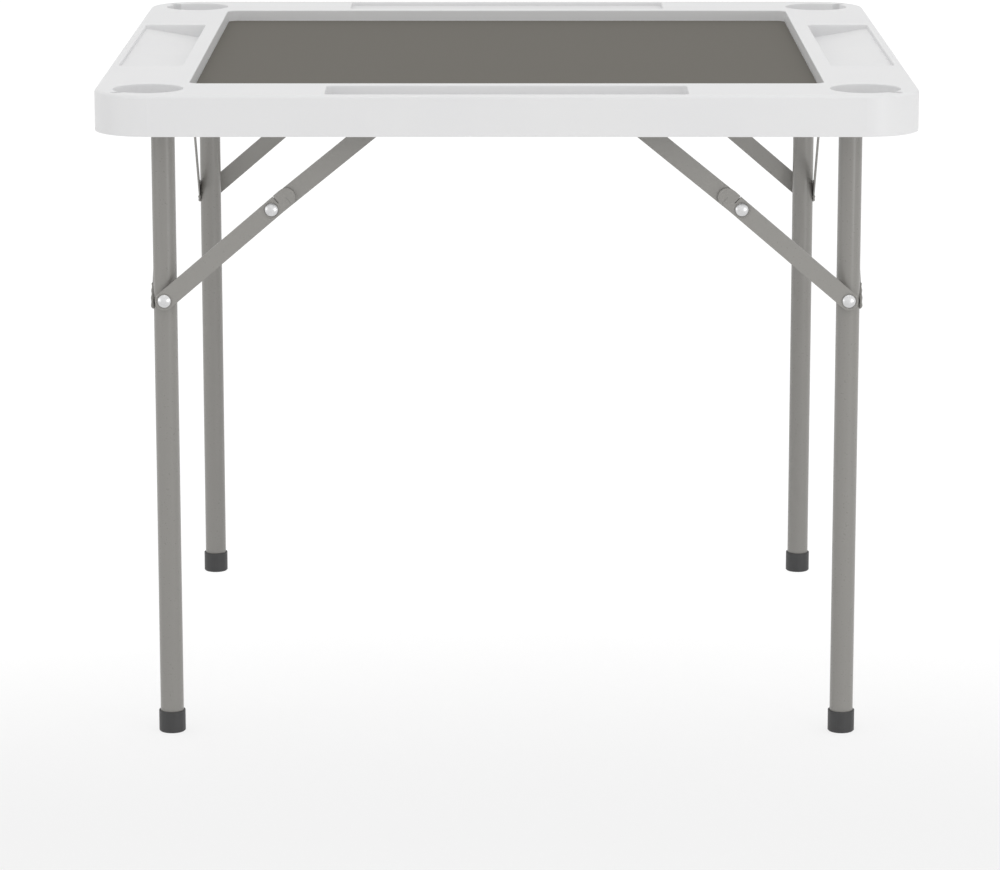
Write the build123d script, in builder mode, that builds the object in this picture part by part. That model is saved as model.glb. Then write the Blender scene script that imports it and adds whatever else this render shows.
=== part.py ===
from build123d import *
from math import cos, radians, sin
import os

os.makedirs("parts", exist_ok=True)

# A square folding card table. Millimetres, +Z up, origin on the floor under the middle of the top.
# Left is -X and front is -Y. side is -1 on the left and +1 on the right; end is -1 at the front
# and +1 at the rear. inboard is a distance from a leg's axis towards the middle of the table.

# The whole table
table_height = 711.0
top_width = 876.0

# The moulded top
skirt_depth = 44.0
corner_radius = 60.0
top_edge_radius = 3.5
inner_edge_radius = 1.2
wall = 2.8
rim_width = 97.6
play_surface_drop = 12.7
recess_corner_radius = 12.0
rib_thickness = 2.4
rib_depth = 9.0
ribs_each_way = 5

# The play mat lying in the recess
mat_thickness = 1.3
mat_gap = 0.9
mat_edge_radius = 0.4

# The four playing-piece trays, deep on the inside and shallow on the outside
tray_length = 384.0
tray_inner_land = 17.6
tray_outer_land = 9.5
tray_inner_depth = 16.6
tray_outer_depth = 4.6
tray_corner_radius = 6.0

# The four corner cups, each with a slot for a mug's handle
cup_radius = 37.5
cup_inset = 57.0
cup_depth = 21.0
cup_floor_radius = 2.5
slot_width = 11.0
slot_reach = 50.0
slot_mouth_radius = 2.0

# The round legs and the cross tubes that join them in pairs
leg_diameter = 25.4
tube_wall = 1.2
leg_inset = 71.0
cup_clearance = 1.5
leg_top_clearance = 1.0
cross_tube_setback = 4.0

# The foot caps
cap_diameter = 29.0
cap_height = 24.0
cap_floor = 3.0
cap_fit = 0.05
cap_bottom_bevel = 1.2
cap_rim_radius = 0.6
cap_mouth_bevel = 0.8

# The flat steel strips of the braces
strip_width = 20.0
strip_thickness = 2.5
brace_leg_gap = 0.5
brace_side_gap = 0.3

# The folding brace of each leg, from the leg's rivet by the knee to the anchor under the top
anchor_drop = 27.4
lower_link_length = 152.5
lower_link_angle = 40.5
upper_link_length = 163.0
upper_link_angle = 39.0
knee_overlap = 30.8
stop_slit_start = 10.1
stop_slit_width = 0.8
stop_slit_depth = 9.5
stop_lug_length = 8.6
stop_lug_thickness = 1.6
stop_lug_clearance = 0.3
stop_shoulder_gap = 1.1
pressed_corner_line_angle = 45.0
pressed_corner_slope = 12.0
crease_start = 20.2
crease_length = 8.2
crease_width = 0.8
crease_depth = 0.4

# Rivets
rivet_shank_radius = 4.0
rivet_running_fit = 0.06
rivet_head_radius = 7.0
rivet_head_height = 3.2
rivet_edge_bevel = 0.5
rivet_head_play = 0.1
rivet_tail_radius = 6.0
rivet_tail_height = 2.0
anchor_tail_radius = 5.0
collar_radius = 6.4
blind_tail_setback = 1.5

# The fixed diagonal strut of each leg, in the plane of the leg frame
strut_width = 12.7
strut_thickness = 1.6
strut_angle = 50.0
strut_foot_drop = 3.5

# The hinges of the leg frames; the right frame hangs lower, so that it folds under the left one
left_pivot_inboard = 29.0
left_pivot_drop = 24.0
right_pivot_inboard = 50.0
right_pivot_drop = 47.0
hinge_inset = 53.0
ear_thickness = 4.0
ear_end_radius = 6.6
ear_band = 4.3
ear_side_gap = 0.3
pin_radius = 3.0
pin_running_fit = 0.05
pin_head_radius = 5.0
pin_head_thickness = 1.8
bracket_thickness = 2.5
bracket_length = 36.0
bracket_width = 40.0
bracket_setback = 10.0
pad_thickness = 5.0
pad_margin = 2.0

# Screws
screw_shank_radius = 2.0
screw_hole_clearance = 0.2
screw_head_radius = 4.0
screw_head_height = 2.2
screw_bite = 6.4
bracket_screw_spacing = 25.0

# The steel rails under the front and rear trays, which carry the brace anchors
rail_thickness = 2.5
rail_flange_width = 38.0
rail_web_below = 11.6
rail_web_above = 7.9
rail_side_gap = 0.6
rail_boss_radius = 8.0
rail_boss_gap = 8.0
rail_end_margin = 4.0

# Heights and half widths that follow
top_half = top_width / 2
skirt_bottom = table_height - skirt_depth
rim_underside = table_height - wall
recess_side = top_width - 2 * rim_width
recess_half = recess_side / 2
mat_top = table_height - play_surface_drop
recess_floor = mat_top - mat_thickness
deck_underside = recess_floor - wall
tray_inner = recess_half + tray_inner_land
tray_outer = top_half - tray_outer_land
cup_offset = top_half - cup_inset
cup_underside = table_height - cup_depth - wall

leg_radius = leg_diameter / 2
leg_offset = top_half - leg_inset
cross_tube_height = cup_underside - cup_clearance - leg_radius
leg_top = cup_underside - leg_top_clearance
hinge_offset = leg_offset - hinge_inset

# Layers of the brace, counted outwards from the middle of the table along Y
strip_half = strip_width / 2
upper_link_inner = leg_offset + leg_radius + brace_leg_gap
upper_link_outer = upper_link_inner + strip_thickness
lower_link_inner = upper_link_outer + brace_side_gap
lower_link_outer = lower_link_inner + strip_thickness
rail_web_inner = lower_link_outer + rail_side_gap
rail_web_outer = rail_web_inner + rail_thickness

# Brace pivots as inboard distance and height
anchor_height = table_height - anchor_drop
knee_height = anchor_height - upper_link_length * sin(radians(upper_link_angle))
leg_rivet_height = knee_height - lower_link_length * sin(radians(lower_link_angle))
knee_inboard = lower_link_length * cos(radians(lower_link_angle))
anchor_inboard = knee_inboard + upper_link_length * cos(radians(upper_link_angle))

# Hinge pivots by side, as inboard distance and height
pivot_inboard = {-1: left_pivot_inboard, 1: right_pivot_inboard}
pivot_height = {-1: table_height - left_pivot_drop, 1: table_height - right_pivot_drop}

side_names = {-1: "left", 1: "right"}
end_names = {-1: "front", 1: "rear"}


def across(side, inboard):
    """X of a point that lies inboard of the leg axis on one side."""
    return side * (leg_offset - inboard)


def upright(y):
    """The XZ plane moved to a given Y."""
    return Plane.XZ.offset(-y)


def outward(end, distance):
    """Extrusion amount on an upright plane that goes away from the middle of the table."""
    return -end * distance


def link_plane(side, pivot, angle, layer):
    """The inner face of a link: X runs up the link from its lower pivot, and Y to its top edge."""
    return Plane(
        origin=(pivot[0], layer, pivot[1]),
        x_dir=(-side * cos(radians(angle)), 0, sin(radians(angle))),
        z_dir=(0, side, 0),
    )


def keep(piece, name):
    """Label a finished piece and write it."""
    piece.part.label = name
    export_step(piece.part, "parts/" + name + ".step")


# The shape that each tray cuts: a prism with a sloping floor and rounded corners, on the +X side
with BuildPart() as tray_cut:
    with BuildSketch(Plane.XZ):
        with BuildLine():
            Polyline(
                (tray_inner, table_height),
                (tray_inner, table_height - tray_inner_depth),
                (tray_outer, table_height - tray_outer_depth),
                (tray_outer, table_height),
                close=True,
            )
        make_face()
    extrude(amount=tray_length / 2, both=True)
    fillet(tray_cut.edges().filter_by(Axis.Z), tray_corner_radius)

# The wall round each tray, as a solid to be cut, on the +X side
with BuildPart() as tray_tub:
    with BuildSketch(Plane.XZ):
        with BuildLine():
            Polyline(
                (tray_inner - wall, rim_underside),
                (tray_inner - wall, table_height - tray_inner_depth - wall),
                (tray_outer + wall, table_height - tray_outer_depth - wall),
                (tray_outer + wall, rim_underside),
                close=True,
            )
        make_face()
    extrude(amount=tray_length / 2 + wall, both=True)

# The shape that each cup cuts, with its slot running out along +X
with BuildPart() as cup_cut:
    with BuildSketch(Plane.XY.offset(table_height - cup_depth)) as cup_mouth:
        Circle(cup_radius)
        with Locations((slot_reach / 2 - slot_width / 4, 0)):
            Rectangle(slot_reach - slot_width / 2, slot_width)
        with Locations((slot_reach - slot_width / 2, 0)):
            Circle(slot_width / 2)
        mouth_corners = cup_mouth.vertices().filter_by(
            lambda corner: abs(abs(corner.Y) - slot_width / 2) < wall / 2 and corner.X < cup_radius
        )
        fillet(mouth_corners, slot_mouth_radius)
    extrude(amount=cup_depth)
    fillet(cup_cut.faces().sort_by(Axis.Z)[0].edges(), cup_floor_radius)

# The wall round each cup and slot, as a solid to be cut
with BuildPart() as cup_tub:
    with BuildSketch(Plane.XY.offset(cup_underside)):
        Circle(cup_radius + wall)
        with Locations((slot_reach / 2 - slot_width / 4, 0)):
            Rectangle(slot_reach - slot_width / 2, slot_width + 2 * wall)
        with Locations((slot_reach - slot_width / 2, 0)):
            Circle(slot_width / 2 + wall)
    extrude(amount=rim_underside - cup_underside)

cup_places = [
    Location((side * cup_offset, end * cup_offset, 0), (0, 0, turn))
    for side, end, turn in ((1, 1, 45), (-1, 1, 135), (-1, -1, 225), (1, -1, 315))
]

# Where the hinge brackets sit: the middle of each bracket's foot
bracket_front = {
    side: pivot_inboard[side] + bracket_setback for side in (-1, 1)
}
bracket_places = [
    (across(side, bracket_front[side] + bracket_length / 2), end * hinge_offset)
    for side in (-1, 1)
    for end in (-1, 1)
]
bracket_screw_places = [
    (x, y + step * bracket_screw_spacing / 2) for x, y in bracket_places for step in (-1, 1)
]
rail_boss_x = tray_length / 2 + wall + rail_boss_gap + rail_boss_radius
rail_boss_y = rail_web_inner + rail_flange_width / 2
rail_boss_places = [
    (side * rail_boss_x, end * rail_boss_y) for side in (-1, 1) for end in (-1, 1)
]
rail_top = anchor_height + rail_web_above
pad_underside = deck_underside - pad_thickness
rib_half = leg_offset - max(bracket_front.values()) - bracket_length - pad_margin * 2
rib_spacing = 2 * rib_half / ribs_each_way

# The moulded top: one open-bottomed shell with a skirt, a square recess, trays and cups
with BuildPart() as tabletop_moulding:
    with BuildSketch(Plane.XY.offset(skirt_bottom)):
        RectangleRounded(top_width, top_width, corner_radius)
    extrude(amount=skirt_depth)
    fillet(tabletop_moulding.faces().sort_by(Axis.Z)[-1].edges(), top_edge_radius)
    with BuildSketch(Plane.XY.offset(skirt_bottom)):
        RectangleRounded(top_width - 2 * wall, top_width - 2 * wall, corner_radius - wall)
    extrude(amount=skirt_depth - wall, mode=Mode.SUBTRACT)
    # Stiffening ribs, pads for the hinge brackets and bosses for the rails hang from the underside
    with BuildSketch(Plane.XY.offset(deck_underside - rib_depth)):
        with GridLocations(rib_spacing, 0, ribs_each_way, 1):
            Rectangle(rib_thickness, 2 * rib_half)
        with GridLocations(0, rib_spacing, 1, ribs_each_way):
            Rectangle(2 * rib_half, rib_thickness)
    extrude(amount=rib_depth + wall / 2)
    with BuildSketch(Plane.XY.offset(pad_underside)):
        with Locations(*bracket_places):
            Rectangle(bracket_length + 2 * pad_margin, bracket_width + 2 * pad_margin)
    extrude(amount=pad_thickness + wall / 2)
    with BuildSketch(Plane.XY.offset(rail_top)):
        with Locations(*rail_boss_places):
            Circle(rail_boss_radius)
    extrude(amount=rim_underside + wall / 2 - rail_top)
    # Walls of the recess, trays and cups
    with BuildSketch(Plane.XY.offset(deck_underside)):
        RectangleRounded(recess_side + 2 * wall, recess_side + 2 * wall, recess_corner_radius + wall)
    extrude(amount=rim_underside - deck_underside)
    with PolarLocations(0, 4):
        add(tray_tub.part)
    with Locations(*cup_places):
        add(cup_tub.part)
    # The hollows themselves
    with BuildSketch(Plane.XY.offset(recess_floor)):
        RectangleRounded(recess_side, recess_side, recess_corner_radius)
    extrude(amount=table_height - recess_floor, mode=Mode.SUBTRACT)
    with PolarLocations(0, 4):
        add(tray_cut.part, mode=Mode.SUBTRACT)
    with Locations(*cup_places):
        add(cup_cut.part, mode=Mode.SUBTRACT)
    rim_face = tabletop_moulding.faces().sort_by(Axis.Z)[-1]
    fillet([edge for loop in rim_face.inner_wires() for edge in loop.edges()], inner_edge_radius)
    # Screw holes in the pads and bosses
    with BuildSketch(Plane.XY.offset(pad_underside)):
        with Locations(*bracket_screw_places):
            Circle(screw_shank_radius)
    extrude(amount=screw_bite, mode=Mode.SUBTRACT)
    with BuildSketch(Plane.XY.offset(rail_top)):
        with Locations(*rail_boss_places):
            Circle(screw_shank_radius)
    extrude(amount=screw_bite, mode=Mode.SUBTRACT)
keep(tabletop_moulding, "tabletop_moulding")

# The play mat: a thin textured sheet that drops into the recess
mat_side = recess_side - 2 * mat_gap
with BuildPart() as play_mat:
    with BuildSketch(Plane.XY.offset(recess_floor)):
        RectangleRounded(mat_side, mat_side, recess_corner_radius - mat_gap)
    extrude(amount=mat_thickness)
    fillet(play_mat.faces().sort_by(Axis.Z)[-1].edges(), mat_edge_radius)
keep(play_mat, "play_mat")

# Rails: a steel angle under each of the front and rear trays, screwed up to two bosses
rail_length = 2 * (rail_boss_x + rail_boss_radius + rail_end_margin)
for end in (-1, 1):
    with BuildPart() as rail:
        with BuildSketch(upright(end * rail_web_inner)):
            with Locations((0, anchor_height + (rail_web_above - rail_web_below) / 2)):
                Rectangle(rail_length, rail_web_above + rail_web_below)
            with Locations(*[(across(side, anchor_inboard), anchor_height) for side in (-1, 1)]):
                Circle(rivet_shank_radius, mode=Mode.SUBTRACT)
        extrude(amount=outward(end, rail_thickness))
        with BuildSketch(Plane.XY.offset(rail_top - rail_thickness)):
            with Locations((0, end * rail_boss_y)):
                Rectangle(rail_length, rail_flange_width)
            with Locations((-rail_boss_x, end * rail_boss_y), (rail_boss_x, end * rail_boss_y)):
                Circle(screw_shank_radius + screw_hole_clearance, mode=Mode.SUBTRACT)
        extrude(amount=rail_thickness)
    keep(rail, end_names[end] + "_rail")


def screws(places, seat):
    """Pan-head screws driven upwards, with their heads under the height of the seat."""
    with BuildPart() as group:
        with BuildSketch(Plane.XY.offset(seat - screw_head_height)):
            with Locations(*places):
                Circle(screw_head_radius)
        extrude(amount=screw_head_height)
        fillet(group.faces().filter_by(Axis.Z).group_by(Axis.Z)[0].edges(), screw_head_height / 2)
        with BuildSketch(Plane.XY.offset(seat)):
            with Locations(*places):
                Circle(screw_shank_radius)
        extrude(amount=screw_bite + rail_thickness)
    return group


keep(screws(rail_boss_places, rail_top - rail_thickness), "rail_screws")
keep(screws(bracket_screw_places, pad_underside - bracket_thickness), "bracket_screws")

# Hinge brackets: a foot plate under the deck with two cheeks that hold the pin
cheek_inner = ear_thickness / 2 + ear_side_gap
cheek_outer = cheek_inner + bracket_thickness
bracket_top = pad_underside
cheek_relief = bracket_length + 2 * (pad_margin + ear_side_gap)
for side in (-1, 1):
    foot_middle = across(side, bracket_front[side] + bracket_length / 2)
    pivot_x = across(side, pivot_inboard[side])
    for end in (-1, 1):
        hinge_y = end * hinge_offset
        with BuildPart() as pivot_bracket:
            with BuildSketch(Plane.XY.offset(bracket_top - bracket_thickness)):
                with Locations((foot_middle, hinge_y)):
                    Rectangle(bracket_length, bracket_width)
                with Locations(
                    (foot_middle, hinge_y - bracket_screw_spacing / 2),
                    (foot_middle, hinge_y + bracket_screw_spacing / 2),
                ):
                    Circle(screw_shank_radius + screw_hole_clearance, mode=Mode.SUBTRACT)
            extrude(amount=bracket_thickness)
            for cheek_y in (hinge_y - cheek_outer, hinge_y + cheek_inner):
                with BuildSketch(upright(cheek_y)):
                    with Locations((pivot_x, pivot_height[side])):
                        Circle(ear_end_radius)
                    with Locations((foot_middle, bracket_top - bracket_thickness / 2)):
                        Rectangle(bracket_length, bracket_thickness)
                    make_hull()
                    with Locations((foot_middle, bracket_top + ear_end_radius)):
                        Rectangle(cheek_relief, 2 * ear_end_radius, mode=Mode.SUBTRACT)
                    with Locations((pivot_x, pivot_height[side])):
                        Circle(pin_radius, mode=Mode.SUBTRACT)
                extrude(amount=-bracket_thickness)
        keep(pivot_bracket, side_names[side] + "_" + end_names[end] + "_pivot_bracket")

# Hinge pins: one headed pin through each bracket and the ear between its cheeks
with BuildPart() as hinge_pins:
    for side in (-1, 1):
        for end in (-1, 1):
            pin_middle = (across(side, pivot_inboard[side]), pivot_height[side])
            hinge_y = end * hinge_offset
            with BuildSketch(upright(hinge_y)):
                with Locations(pin_middle):
                    Circle(pin_radius)
            extrude(amount=cheek_outer + pin_head_thickness / 2, both=True)
            for head_y in (hinge_y - cheek_outer - pin_head_thickness, hinge_y + cheek_outer):
                with BuildSketch(upright(head_y)):
                    with Locations(pin_middle):
                        Circle(pin_head_radius)
                extrude(amount=-pin_head_thickness)
keep(hinge_pins, "hinge_pins")


def dome(x, z, face, end, radius, height, rise):
    """A domed rivet head on a face at a given Y; rise is +1 outwards and -1 inwards."""
    dome_height = height - rivet_edge_bevel
    ball = (radius * radius + dome_height * dome_height) / (2 * dome_height)
    crown = face + end * rise * height
    edge_y = face + end * rise * rivet_edge_bevel
    with BuildPart() as head:
        with BuildSketch(Plane.XY.offset(z)):
            with BuildLine():
                Line((x, face), (x + radius - rivet_edge_bevel, face))
                Line((x + radius - rivet_edge_bevel, face), (x + radius, edge_y))
                ThreePointArc(
                    (x + radius, edge_y),
                    (
                        x + radius / 2,
                        crown - end * rise * (ball - (ball * ball - radius * radius / 4) ** 0.5),
                    ),
                    (x, crown),
                )
                Line((x, crown), (x, face))
            make_face()
        revolve(axis=Axis((x, 0, z), (0, 1, 0)))
    return head.part


# Anchor rivets: each holds the top of a brace to its rail, with a collar that spaces it off the web
with BuildPart() as anchor_rivets:
    for side in (-1, 1):
        for end in (-1, 1):
            anchor_x = across(side, anchor_inboard)
            head_face = end * (upper_link_inner - rivet_head_play)
            with BuildSketch(upright(head_face)):
                with Locations((anchor_x, anchor_height)):
                    Circle(rivet_shank_radius)
            extrude(amount=outward(end, rail_web_outer + rivet_head_play - upper_link_inner))
            with BuildSketch(upright(end * (upper_link_outer + rivet_head_play))):
                with Locations((anchor_x, anchor_height)):
                    Circle(collar_radius)
            extrude(amount=outward(end, rail_web_inner - upper_link_outer - rivet_head_play))
            add(dome(anchor_x, anchor_height, head_face, end, rivet_head_radius, rivet_tail_height, -1))
            add(
                dome(
                    anchor_x,
                    anchor_height,
                    end * rail_web_outer,
                    end,
                    anchor_tail_radius,
                    rivet_tail_height,
                    1,
                )
            )
keep(anchor_rivets, "anchor_rivets")

# Leg frames: two legs, a cross tube, two struts and two ears make one rigid frame on each side
ear_tube_radius = leg_radius + ear_band
strut_foot_height = leg_rivet_height - strut_foot_drop
strut_length = (cross_tube_height - strut_foot_height) / sin(radians(strut_angle))
blind_tail_offset = leg_offset + leg_radius - tube_wall - blind_tail_setback
for side in (-1, 1):
    frame_x = across(side, 0)
    pivot_place = (across(side, pivot_inboard[side]), pivot_height[side])

    with BuildPart() as cross_tube:
        with BuildSketch(Plane.XZ):
            with Locations((frame_x, cross_tube_height)):
                Circle(leg_radius)
                Circle(leg_radius - tube_wall, mode=Mode.SUBTRACT)
        extrude(amount=leg_offset - cross_tube_setback, both=True)
        with BuildSketch(Plane.XY.offset(skirt_bottom - skirt_depth)):
            with Locations((frame_x, -leg_offset), (frame_x, leg_offset)):
                Circle(leg_radius)
        extrude(amount=2 * skirt_depth, mode=Mode.SUBTRACT)
    keep(cross_tube, side_names[side] + "_cross_tube")

    # Each leg rivet goes through the outer wall of its leg alone, and its tail spreads inside the tube
    with BuildPart() as leg_rivets:
        for end in (-1, 1):
            with BuildSketch(upright(end * leg_offset)):
                with Locations((frame_x, leg_rivet_height)):
                    Circle(collar_radius)
            extrude(amount=outward(end, lower_link_inner - rivet_head_play - leg_offset))
        with BuildSketch(Plane.XY.offset(leg_rivet_height - leg_diameter)):
            with Locations((frame_x, -leg_offset), (frame_x, leg_offset)):
                Circle(leg_radius)
        extrude(amount=2 * leg_diameter, mode=Mode.SUBTRACT)
        for end in (-1, 1):
            tail_face = end * blind_tail_offset
            head_face = end * (lower_link_outer + rivet_head_play)
            with BuildSketch(upright(tail_face)):
                with Locations((frame_x, leg_rivet_height)):
                    Circle(rivet_shank_radius)
            extrude(amount=outward(end, lower_link_outer + rivet_head_play - blind_tail_offset))
            add(dome(frame_x, leg_rivet_height, head_face, end, rivet_head_radius, rivet_head_height, 1))
            add(dome(frame_x, leg_rivet_height, tail_face, end, rivet_tail_radius, rivet_tail_height, -1))
    keep(leg_rivets, side_names[side] + "_leg_rivets")

    for end in (-1, 1):
        corner_name = side_names[side] + "_" + end_names[end]
        leg_y = end * leg_offset

        with BuildPart() as leg:
            with BuildSketch(Plane.XY.offset(cap_floor)):
                with Locations((frame_x, leg_y)):
                    Circle(leg_radius)
                    Circle(leg_radius - tube_wall, mode=Mode.SUBTRACT)
            extrude(amount=leg_top - cap_floor)
            with BuildSketch(upright(leg_y)):
                with Locations((frame_x, leg_rivet_height)):
                    Circle(rivet_shank_radius)
            extrude(amount=outward(end, leg_radius), mode=Mode.SUBTRACT)
        keep(leg, corner_name + "_leg")

        with BuildPart() as foot_cap:
            with BuildSketch(Plane.XY):
                with Locations((frame_x, leg_y)):
                    Circle(cap_diameter / 2)
            extrude(amount=cap_height)
            chamfer(foot_cap.faces().sort_by(Axis.Z)[0].edges(), cap_bottom_bevel)
            fillet(foot_cap.faces().sort_by(Axis.Z)[-1].edges(), cap_rim_radius)
            with BuildSketch(Plane.XY.offset(cap_floor)):
                with Locations((frame_x, leg_y)):
                    Circle(leg_radius + cap_fit)
            extrude(amount=cap_height - cap_floor, mode=Mode.SUBTRACT)
            mouth = foot_cap.faces().sort_by(Axis.Z)[-1].inner_wires()[0]
            chamfer(mouth.edges(), cap_mouth_bevel)
        keep(foot_cap, corner_name + "_foot_cap")

        # The strut is a flat strip that lies against the outer side of the leg and of the cross tube
        strut_plane = Plane(
            origin=(side * (leg_offset + leg_radius), leg_y, strut_foot_height),
            x_dir=(0, -end * cos(radians(strut_angle)), sin(radians(strut_angle))),
            z_dir=(side, 0, 0),
        )
        with BuildPart() as strut:
            with BuildSketch(strut_plane):
                with Locations((strut_length / 2, 0)):
                    SlotCenterToCenter(strut_length, strut_width)
            extrude(amount=strut_thickness)
        keep(strut, corner_name + "_strut")

        with BuildPart() as ear:
            with BuildSketch(upright(end * hinge_offset)):
                with Locations((frame_x, cross_tube_height)):
                    Circle(ear_tube_radius)
                with Locations(pivot_place):
                    Circle(ear_end_radius)
                make_hull()
                with Locations((frame_x, cross_tube_height)):
                    Circle(leg_radius, mode=Mode.SUBTRACT)
                with Locations(pivot_place):
                    Circle(pin_radius + pin_running_fit, mode=Mode.SUBTRACT)
            extrude(amount=ear_thickness / 2, both=True)
        keep(ear, corner_name + "_hinge_ear")

# Folding braces: a lower link on the leg's rivet and an upper link on the anchor, which meet at the knee
lower_reach = lower_link_length + knee_overlap - strip_half
slit_start = lower_link_length + stop_slit_start
slit_bottom = strip_half - stop_slit_depth
lug_start = stop_slit_start + stop_slit_width
relief_depth = stop_lug_thickness + stop_lug_clearance
relief_length = strip_half + lug_start + stop_lug_length + stop_shoulder_gap
for side in (-1, 1):
    leg_point = (across(side, 0), leg_rivet_height)
    knee_point = (across(side, knee_inboard), knee_height)
    for end in (-1, 1):
        corner_name = side_names[side] + "_" + end_names[end]
        depth_sign = side * end

        lower_plane = link_plane(side, leg_point, lower_link_angle, end * lower_link_inner)
        # The line that the corner is pressed along runs from the slit's foot back to the top edge
        line_cos = cos(radians(pressed_corner_line_angle))
        line_sin = sin(radians(pressed_corner_line_angle))
        slope_cos = cos(radians(pressed_corner_slope))
        slope_sin = sin(radians(pressed_corner_slope))
        downhill = lower_plane.x_dir * line_sin + lower_plane.y_dir * line_cos
        pressed_face = Plane(
            origin=lower_plane.from_local_coords((slit_start, slit_bottom, depth_sign * strip_thickness)),
            x_dir=lower_plane.y_dir * line_sin - lower_plane.x_dir * line_cos,
            z_dir=Vector(0, end * slope_cos, 0) + downhill * slope_sin,
        )
        with BuildPart() as lower_link:
            with BuildSketch(lower_plane):
                with Locations((lower_reach / 2, 0)):
                    SlotCenterToCenter(lower_reach, strip_width)
                with Locations((0, 0)):
                    Circle(rivet_shank_radius + rivet_running_fit, mode=Mode.SUBTRACT)
                with Locations((lower_link_length, 0)):
                    Circle(rivet_shank_radius, mode=Mode.SUBTRACT)
                with Locations((slit_start + stop_slit_width / 2, slit_bottom + stop_slit_depth / 2)):
                    Rectangle(stop_slit_width, stop_slit_depth, mode=Mode.SUBTRACT)
            extrude(amount=depth_sign * strip_thickness)
            # The stop lug is turned inwards from the top edge, over the edge of the upper link
            with BuildSketch(lower_plane):
                with Locations(
                    (
                        lower_link_length + lug_start + stop_lug_length / 2,
                        strip_half - stop_lug_thickness / 2,
                    )
                ):
                    Rectangle(stop_lug_length, stop_lug_thickness)
            extrude(amount=-depth_sign * (strip_thickness + brace_side_gap))
            # The corner between the rivet and the slit slopes inwards
            with BuildSketch(pressed_face):
                with BuildLine():
                    Polyline(
                        (0, 0),
                        (strip_width / line_sin, 0),
                        (strip_width * line_sin, -depth_sign * strip_width * line_cos),
                        close=True,
                    )
                make_face()
            extrude(amount=strip_thickness, mode=Mode.SUBTRACT)
            # A shallow crease crosses the lower half of the face beyond the slit
            with BuildSketch(lower_plane.offset(depth_sign * (strip_thickness - crease_depth))):
                with Locations((lower_link_length + crease_start + crease_width / 2, -crease_length / 2)):
                    Rectangle(crease_width, crease_length)
            extrude(amount=depth_sign * crease_depth, mode=Mode.SUBTRACT)
        keep(lower_link, corner_name + "_lower_link")

        with BuildPart() as knee_rivet:
            with BuildSketch(upright(end * lower_link_inner)):
                with Locations(knee_point):
                    Circle(rivet_shank_radius)
            extrude(amount=outward(end, strip_thickness))
            add(
                dome(
                    knee_point[0],
                    knee_point[1],
                    end * lower_link_outer,
                    end,
                    rivet_head_radius,
                    rivet_head_height,
                    1,
                )
            )
        keep(knee_rivet, corner_name + "_knee_rivet")

        upper_plane = link_plane(side, knee_point, upper_link_angle, end * upper_link_inner)
        with BuildPart() as upper_link:
            with BuildSketch(upper_plane):
                with Locations((upper_link_length / 2, 0)):
                    SlotCenterToCenter(upper_link_length, strip_width)
                with Locations((0, 0)):
                    Circle(rivet_shank_radius, mode=Mode.SUBTRACT)
                with Locations((upper_link_length, 0)):
                    Circle(rivet_shank_radius + rivet_running_fit, mode=Mode.SUBTRACT)
                # The top edge is cut lower near the knee, to leave room for the stop lug
                with Locations((relief_length / 2 - strip_half, strip_half)):
                    Rectangle(relief_length, 2 * relief_depth, mode=Mode.SUBTRACT)
            extrude(amount=depth_sign * strip_thickness)
        keep(upper_link, corner_name + "_upper_link")

        with BuildPart() as knee_rivet_tail:
            with BuildSketch(upright(end * upper_link_inner)):
                with Locations(knee_point):
                    Circle(rivet_shank_radius)
            extrude(amount=outward(end, strip_thickness))
        keep(knee_rivet_tail, corner_name + "_knee_rivet_tail")
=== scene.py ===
from math import cos, radians, sin, sqrt, tau

import bmesh
import bpy
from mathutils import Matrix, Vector


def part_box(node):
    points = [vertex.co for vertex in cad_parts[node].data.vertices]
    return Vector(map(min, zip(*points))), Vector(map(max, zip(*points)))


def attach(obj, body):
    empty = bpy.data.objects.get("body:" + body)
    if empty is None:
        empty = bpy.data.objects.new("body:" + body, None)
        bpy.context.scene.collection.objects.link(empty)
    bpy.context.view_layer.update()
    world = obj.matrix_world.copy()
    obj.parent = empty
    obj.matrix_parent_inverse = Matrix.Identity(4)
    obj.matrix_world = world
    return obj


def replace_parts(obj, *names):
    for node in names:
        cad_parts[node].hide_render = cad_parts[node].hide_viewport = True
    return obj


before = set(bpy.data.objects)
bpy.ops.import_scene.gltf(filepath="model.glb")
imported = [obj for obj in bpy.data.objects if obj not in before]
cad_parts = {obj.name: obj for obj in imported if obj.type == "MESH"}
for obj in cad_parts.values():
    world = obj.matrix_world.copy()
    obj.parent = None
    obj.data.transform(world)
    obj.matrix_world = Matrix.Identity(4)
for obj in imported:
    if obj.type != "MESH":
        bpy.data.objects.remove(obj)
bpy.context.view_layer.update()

# The moulded top
# One shell of white polyethylene, with the skirt, the raised rim, the recess, the trays and the
# cups all formed in a single moulding. Ribs, pads and bosses stiffen its underside.
MILLIMETRE = 0.001
TOP_WHITE = "#E8E8E8"
TOP_SHADE = "#E4E4E5"
TOP_ROUGHNESS = (0.38, 0.5)
TOP_IOR = 1.51
TOP_SINK_SIZE = 90 * MILLIMETRE
TOP_SINK_HEIGHT = 0.15 * MILLIMETRE
TOP_SINK_DETAIL = 1.0
# The grain of such a mould is finer, and is drawn here as coarse as it needs to show.
TOP_GRAIN_SIZE = 1.1 * MILLIMETRE
TOP_GRAIN_HEIGHT = 0.012 * MILLIMETRE
TOP_GRAIN_DETAIL = 2.0


def linear(hex_colour):
    """The linear colour that a shader takes, from an sRGB hex value by the sRGB formula."""
    channels = [int(hex_colour[i : i + 2], 16) / 255 for i in (1, 3, 5)]
    return [c / 12.92 if c <= 0.04045 else ((c + 0.055) / 1.055) ** 2.4 for c in channels] + [1.0]


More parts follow.
